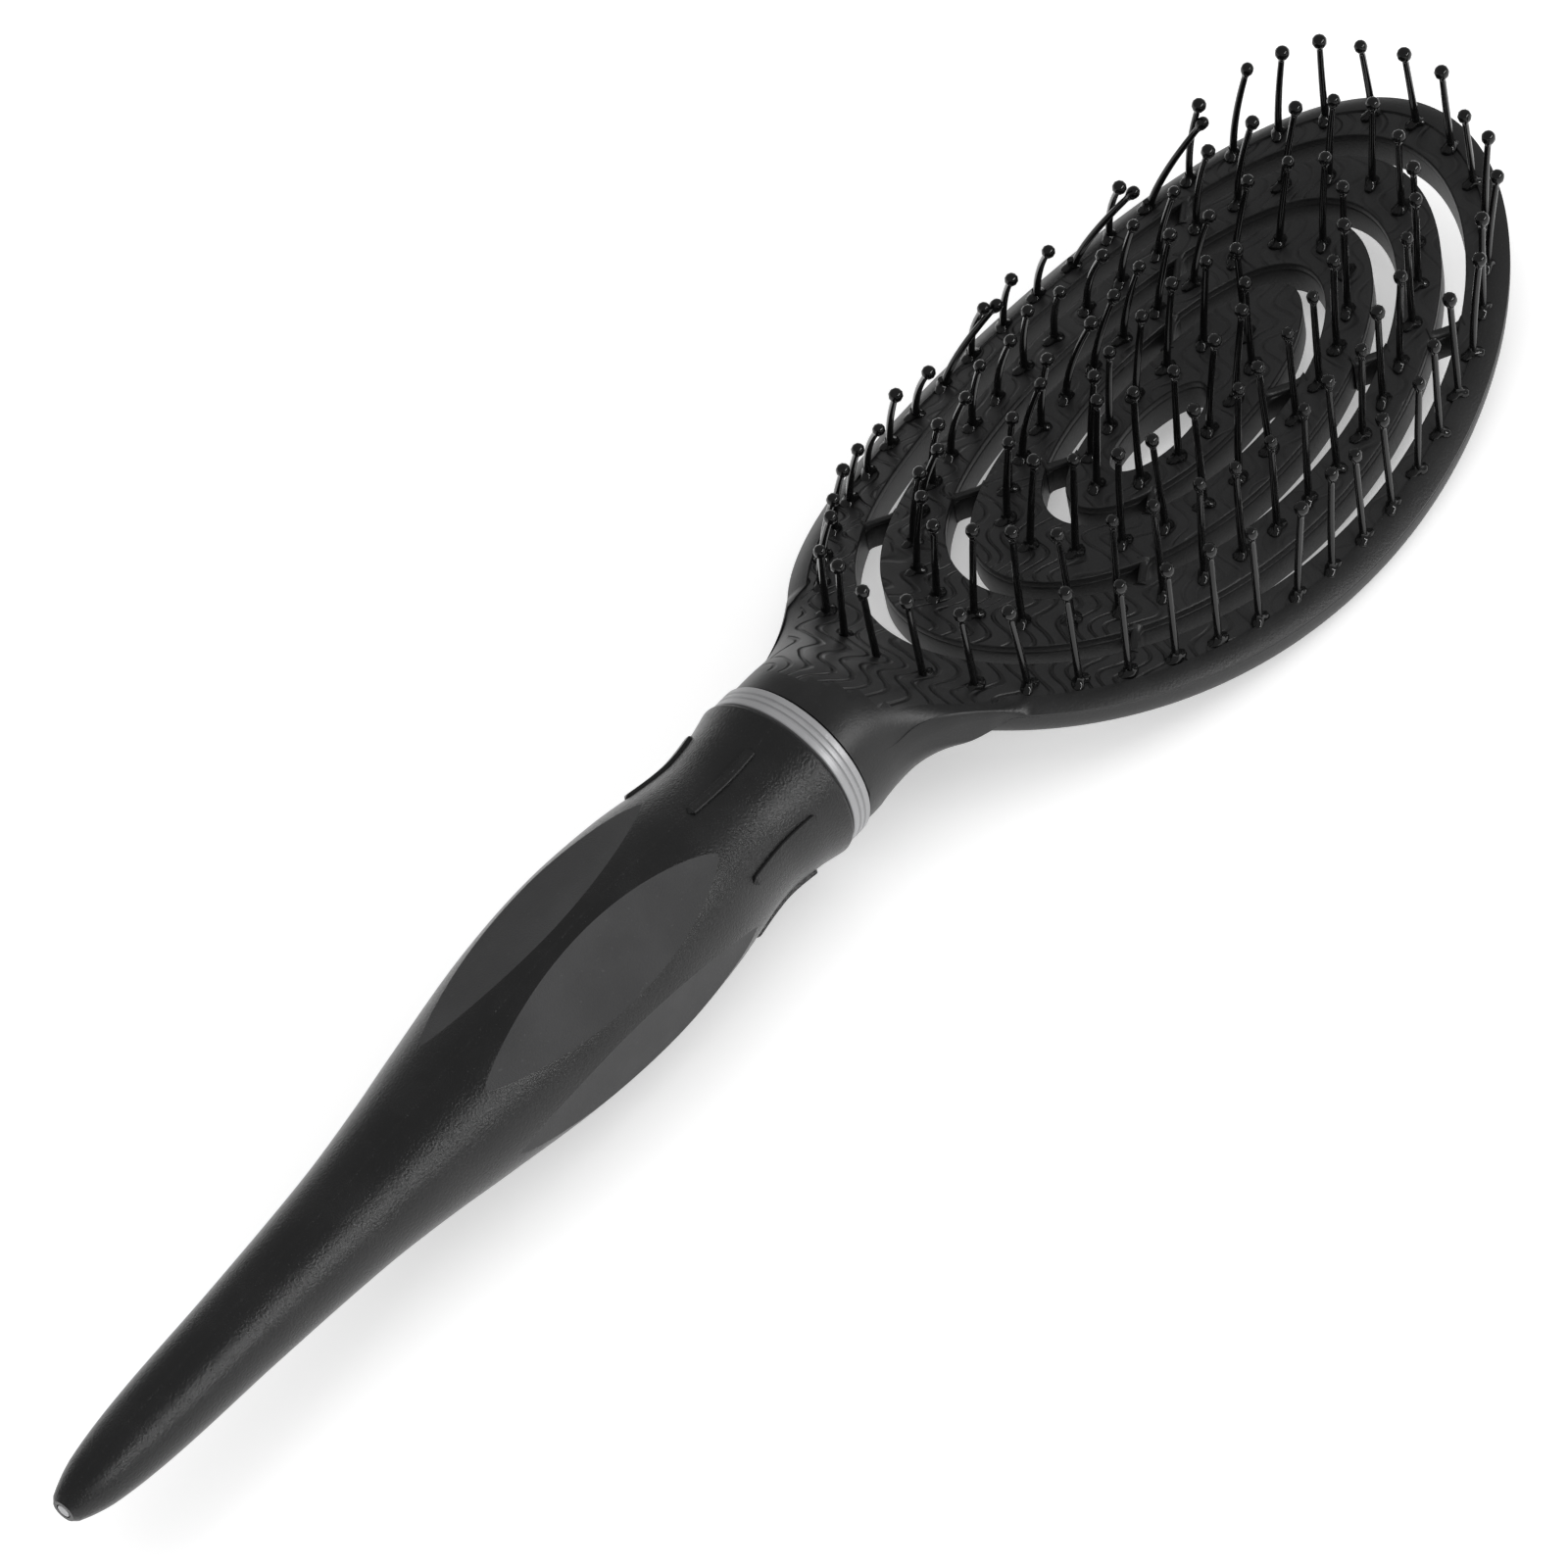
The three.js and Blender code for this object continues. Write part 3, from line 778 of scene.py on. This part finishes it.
def foot(heap, x, y, chance):
    """The pin's glossy foot, squeezed out round its hole, with a small ear at each side."""
    phase = chance.uniform(-0.5, 0.5)
    ears = chance.uniform(0.25, 0.45)
    sides = 16
    sections = []
    level = face_z(x, y) - FIELD_DROP
    for reach, lift in ((1.05, -0.5), (1.12, 0.05), (1.04, 0.3), (0.86, 0.5), (0.6, 0.75), (0.45, 1.3)):
        section = []
        for j in range(sides):
            angle = TURN * j / sides
            lobe = 1 + ears * math.cos(2 * (angle - phase)) + 0.16 * math.cos(3 * angle + phase * 5)
            radius = mix(reach, reach * lobe, 1 if lift < 0.4 else 0.3)
            section.append((x + radius * math.cos(angle), y + radius * math.sin(angle), level + lift))
        sections.append(section)
    heap.add(*ring_of(sections, closed=False, caps=True))


def bristle_rows():
    for row, row_name in enumerate(ROW_NAMES):
        chance = random.Random(BRISTLE_SEED + row)
        heap = Heap()
        middle = EDGES[2 * row].toward(EDGES[2 * row + 1], 0.5)
        for place, (x, y) in enumerate(middle.steps(ROW_COUNTS[row])):
            pin(heap, x, y, row_name, place, chance)
        piece = heap.piece("bristles_" + row_name, 60.0)
        finish_faces(piece, (nylon_finish,))
        ride(piece, "bristle_ring_" + row_name)


# ---- ring -------------------------------------------------------------------------------------
def turned_ring():
    width = RING_END - RING_START
    inner = RING_RADIUS - 1.9
    half_groove = 0.07
    profile = [(0.0, inner), (0.0, RING_RADIUS - 0.25), (0.02, RING_RADIUS - 0.08), (0.06, RING_RADIUS)]
    for middle in (0.36, 0.64):
        profile += [
            (middle - half_groove, RING_RADIUS),
            (middle - half_groove * 0.7, RING_RADIUS - 0.1),
            (middle - half_groove * 0.25, RING_RADIUS - 0.2),
            (middle + half_groove * 0.25, RING_RADIUS - 0.2),
            (middle + half_groove * 0.7, RING_RADIUS - 0.1),
            (middle + half_groove, RING_RADIUS),
        ]
    profile += [(0.94, RING_RADIUS), (0.98, RING_RADIUS - 0.08), (1.0, RING_RADIUS - 0.25), (1.0, inner)]
    sections = []
    count = 160
    for i in range(count):
        angle = TURN * i / count
        sections.append([
            (RING_START + width * share, r * math.sin(angle), r * math.cos(angle)) for share, r in profile
        ])
    points, faces = ring_of(sections)
    piece = piece_from("grooved_ring", points, faces, 30.0)
    finish_faces(piece, (ring_finish,))
    ride(piece, "collar_ring")


# ---- grip -------------------------------------------------------------------------------------
BELLY_RADIUS = 12.15
WAIST_RADIUS = 9.97
GRIP_OUTLINE = (
    (-GRIP_LENGTH, 1.45), (0.8 - GRIP_LENGTH, 2.1), (5 - GRIP_LENGTH, 3.45), (14 - GRIP_LENGTH, 4.55),
    (30 - GRIP_LENGTH, 5.43), (47 - GRIP_LENGTH, 6.7), (-66, 8.0), (-58, 9.33), (-44, 11.43),
    (-32, BELLY_RADIUS), (-21, 11.5), (-10, WAIST_RADIUS), (-4, 10.45), (-0.35, 11.2),
)
FLAT_START, FLAT_END = -57.3, -17.5
FLAT_SPREAD = math.radians(23.4)
FLATS = 6
FLAT_STEPS = 20
RIDGE_STEPS = 28
FLAT_PHASE = math.radians(40.6)


def flat_half_angle(x):
    """Half the angle that one flat takes up round the grip at x: each flat is a pointed lens."""
    if not FLAT_START < x < FLAT_END:
        return 0.0
    along = (x - FLAT_START) / (FLAT_END - FLAT_START)
    return FLAT_SPREAD * (4 * along * (1 - along)) ** 0.75


def grip_radius(x, angle):
    radius = curve_through(GRIP_OUTLINE, x)
    step = TURN / FLATS
    offset = (angle - FLAT_PHASE + step / 2) % step - step / 2
    return min(radius, radius * math.cos(flat_half_angle(x)) / math.cos(offset))


def grip_angles(x):
    """Angles of a section's points, with the two edges of every flat among them."""
    step = TURN / FLATS
    half = max(flat_half_angle(x), 0.004)
    angles = []
    for i in range(FLATS):
        middle = FLAT_PHASE + step * i
        angles += [mix(middle - half, middle + half, j / FLAT_STEPS) for j in range(FLAT_STEPS)]
        angles += [mix(middle + half, middle + step - half, j / RIDGE_STEPS) for j in range(RIDGE_STEPS)]
    return angles


def grip_rib(heap, angle):
    """A raised capsule on the grip, with eased ends."""
    start, end, half, height = -15.9, -4.3, 0.66, 0.42
    steps = 26
    sections = []
    for i in range(steps + 1):
        t = i / steps
        x = mix(start, end, t)
        from_end = min(x - start, end - x)
        ease = math.sqrt(max(0.02, 1 - max(0.0, 1 - from_end / half) ** 2))
        base = grip_radius(x, angle)
        section = []
        for across, lift in (
            (-1.05, -0.5), (-1.0, 0.0), (-0.94, 0.7), (-0.78, 1.0), (0.0, 1.04),
            (0.78, 1.0), (0.94, 0.7), (1.0, 0.0), (1.05, -0.5),
        ):
            turn = angle + across * half * ease / base
            radius = base + height * lift * (ease if lift > 0 else 1)
            section.append((x, -radius * math.sin(turn), radius * math.cos(turn)))
        sections.append(section)
    heap.add(*ring_of(sections, closed=False, caps=True))


def grip():
    heap = Heap()
    xs = [-GRIP_LENGTH + 0.12 * i for i in range(6)]
    while xs[-1] < -62:
        xs.append(xs[-1] + min(1.4, 0.25 + 0.1 * len(xs)))
    while xs[-1] < -1.2:
        near_end = min(abs(xs[-1] - FLAT_START), abs(xs[-1] - FLAT_END)) < 4
        xs.append(xs[-1] + (0.16 if near_end else 0.42))
    xs += [-0.75, -0.4]
    inner = (tang_high[1] - tang_low[1]) / 2 / MM * 0.72
    round_angles = grip_angles(0.0)
    sections = [[(x, *polar(0.95, turn)) for turn in round_angles] for x in (-GRIP_LENGTH + 6, -GRIP_LENGTH)]
    for x in xs:
        sections.append([(x, *polar(grip_radius(x, turn), turn)) for turn in grip_angles(x)])
    for x, r in ((-0.22, 11.16), (-0.08, 11.02), (0.0, 10.8), (0.0, inner), (-6.0, inner)):
        sections.append([(x, *polar(r, turn)) for turn in round_angles])
    heap.add(*ring_of(sections, closed=False, caps=True))
    for i in range(FLATS):
        grip_rib(heap, RIB_PHASE + TURN * i / FLATS)
    piece = heap.piece("faceted_grip", 14.0)

    def choose(at, normal):
        x, y, z = at
        if not FLAT_START < x < FLAT_END:
            return 0
        step = TURN / FLATS
        offset = (math.atan2(-y, z) - FLAT_PHASE + step / 2) % step - step / 2
        return 1 if abs(offset) < flat_half_angle(x) else 0

    finish_faces(piece, (grip_finish, flat_finish), choose)
    ride(piece, "handle_shell")


def polar(radius, angle):
    """y and z at an angle from +Z towards -Y."""
    return (-radius * math.sin(angle), radius * math.cos(angle))


# ---- stage, camera and lights -----------------------------------------------------------------
def floor():
    mesh = bpy.data.meshes.new("floor")
    work = bmesh.new()
    bmesh.ops.create_grid(work, x_segments=1, y_segments=1, size=4.0)
    work.to_mesh(mesh)
    work.free()
    plane = bpy.data.objects.new("floor", mesh)
    bpy.context.scene.collection.objects.link(plane)
    finish = Finish("floor_white")
    mottle = finish.noise(finish.place(1.0), 3.0)
    colour = finish.blend(mottle, (0.93, 0.93, 0.93, 1), (0.95, 0.95, 0.95, 1))
    plane.data.materials.append(finish.close(
        Base_Color=colour, Roughness=0.9, Specular_IOR_Level=0.1,
        Emission_Color=(1, 1, 1, 1), Emission_Strength=0.36,
    ))


CAMERA_RIGHT = (0.6229, -0.7672, -0.1530)
CAMERA_BACK = (-0.4509, -0.5120, 0.7312)
CAMERA_DISTANCE = 0.928
CAMERA_LENS = 186.75
SLIDE_RIGHT, SLIDE_DOWN = 0.0001565, 0.001152


def camera():
    """A long lens above the brush, towards its grip's end and its -Y side."""
    right = Vector(CAMERA_RIGHT).normalized()
    back = Vector(CAMERA_BACK).normalized()
    up = back.cross(right).normalized()
    right = up.cross(back)
    target = spot(0.9, 0, 0)
    data = bpy.data.cameras.new("camera")
    data.sensor_width = 36
    data.lens = CAMERA_LENS
    data.clip_end = 20
    shot = bpy.data.objects.new("camera", data)
    place = target + right * SLIDE_RIGHT - up * SLIDE_DOWN + back * CAMERA_DISTANCE
    shot.matrix_world = Matrix.Translation(place) @ Matrix((right, up, back)).transposed().to_4x4()
    bpy.context.scene.collection.objects.link(shot)
    bpy.context.scene.camera = shot
    return right, up, back


def area_light(name, place, aim, size, power):
    data = bpy.data.lights.new(name, "AREA")
    data.shape = "RECTANGLE"
    data.size, data.size_y = size
    data.energy = power
    lamp = bpy.data.objects.new(name, data)
    lamp.location = place
    lamp.rotation_euler = (aim - place).to_track_quat("-Z", "Y").to_euler()
    bpy.context.scene.collection.objects.link(lamp)
    return lamp


def room():
    """Soft room light: pale walls all round, a little darker overhead."""
    world = bpy.data.worlds.new("room")
    world.use_nodes = True
    sky = Nodes(world.node_tree)
    _, _, height = sky.axes(sky.node("ShaderNodeTexCoord"))
    strength = sky.node("ShaderNodeMapRange", {"interpolation_type": "SMOOTHSTEP"}, {
        "Value": height, "From Min": 0.25, "From Max": 0.85, "To Min": 0.38, "To Max": 0.34,
    })
    light = sky.node("ShaderNodeBackground", None, {"Color": (1, 1, 1, 1), "Strength": strength})
    sky.node("ShaderNodeOutputWorld", None, {"Surface": light})
    bpy.context.scene.world = world


def lights(right, up, back):
    middle = spot(-30, 0, 0)
    wash = area_light("overhead_wash", middle + Vector((0, 0, 1.5)), middle, (2.2, 2.2), 15)
    wash.visible_glossy = False
    key = middle + right * 0.75 + up * 0.12 + back * 0.62
    area_light("key_box", key, middle, (0.9, 0.08), 4.4)


right, up, back = camera()
room()
lights(right, up, back)
floor()
front_cover()
back_cover()
bristle_rows()
turned_ring()
grip()

bpy.context.scene.view_settings.view_transform = "Standard"
